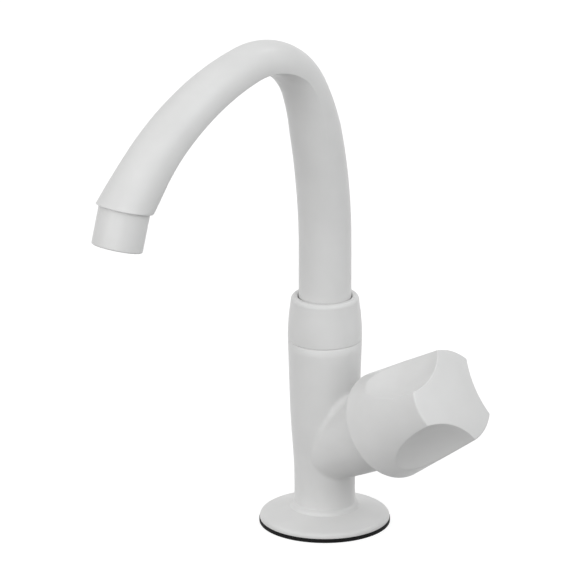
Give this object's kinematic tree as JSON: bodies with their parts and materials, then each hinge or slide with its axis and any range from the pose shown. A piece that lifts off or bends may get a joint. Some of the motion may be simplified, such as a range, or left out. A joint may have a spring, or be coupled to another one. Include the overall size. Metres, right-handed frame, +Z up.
{
  "type": "kitchen tap",
  "caption": "White plastic pillar tap with a swivelling swan-neck spout, an inclined valve with a three-lobed knob, a round base on a black gasket and a threaded shank.",
  "frame": {"origin": "centre of the deck face, the underside of the base gasket, on the column's axis", "axes": "+Z up along the column, -Y towards the spout's outlet at rest, +X towards the valve's knob"},
  "size_m": [0.1118, 0.1577, 0.268],
  "materials": {
    "white_plastic": "satin white moulded plastic",
    "black_rubber": "matt black rubber",
    "grey_rubber": "dark grey rubber",
    "natural_plastic": "matt natural acetal",
    "brass": "turned brass",
    "steel": "woven stainless steel"
  },
  "bodies": {
    "tap": {"tap_body": "white_plastic", "deck_gasket": "black_rubber", "shank_washer": "black_rubber", "back_nut": "white_plastic", "headwork_body": "brass", "headwork_seal": "grey_rubber", "spindle_packing": "grey_rubber", "gland_nut": "brass", "collar": "white_plastic"},
    "swivel": {"spout": "white_plastic", "spout_oring_lower": "grey_rubber", "spout_oring_upper": "grey_rubber", "spout_bearing_ring": "natural_plastic", "spout_retaining_ring": "natural_plastic", "nozzle": "white_plastic", "nozzle_seal": "grey_rubber", "aerator_insert": "natural_plastic", "aerator_flow_disc": "natural_plastic", "aerator_screen": "steel"},
    "valve": {"jumper": "brass", "valve_washer": "grey_rubber", "washer_nut": "brass"},
    "handle": {"knob": "white_plastic", "spindle": "brass"}
  },
  "joints": [
    {"name": "spout_swivel", "type": "hinge", "parent": "tap", "child": "swivel", "pos_m": [0, 0, 0.1], "axis": [0, 0, 1], "continuous": true},
    {"name": "valve_lift", "type": "slide", "parent": "tap", "child": "valve", "axis": [0.8572, 0, 0.515], "range_m": [0, 0.003]},
    {"name": "knob_turn", "type": "hinge", "parent": "valve", "child": "handle", "pos_m": [0, 0, 0.0297], "axis": [0.8572, 0, 0.515], "range_deg": [0, 540]}
  ],
  "couplings": [
    {"joint": "valve_lift", "follows": "knob_turn", "m_per_rad": 0.0003183}
  ]
}
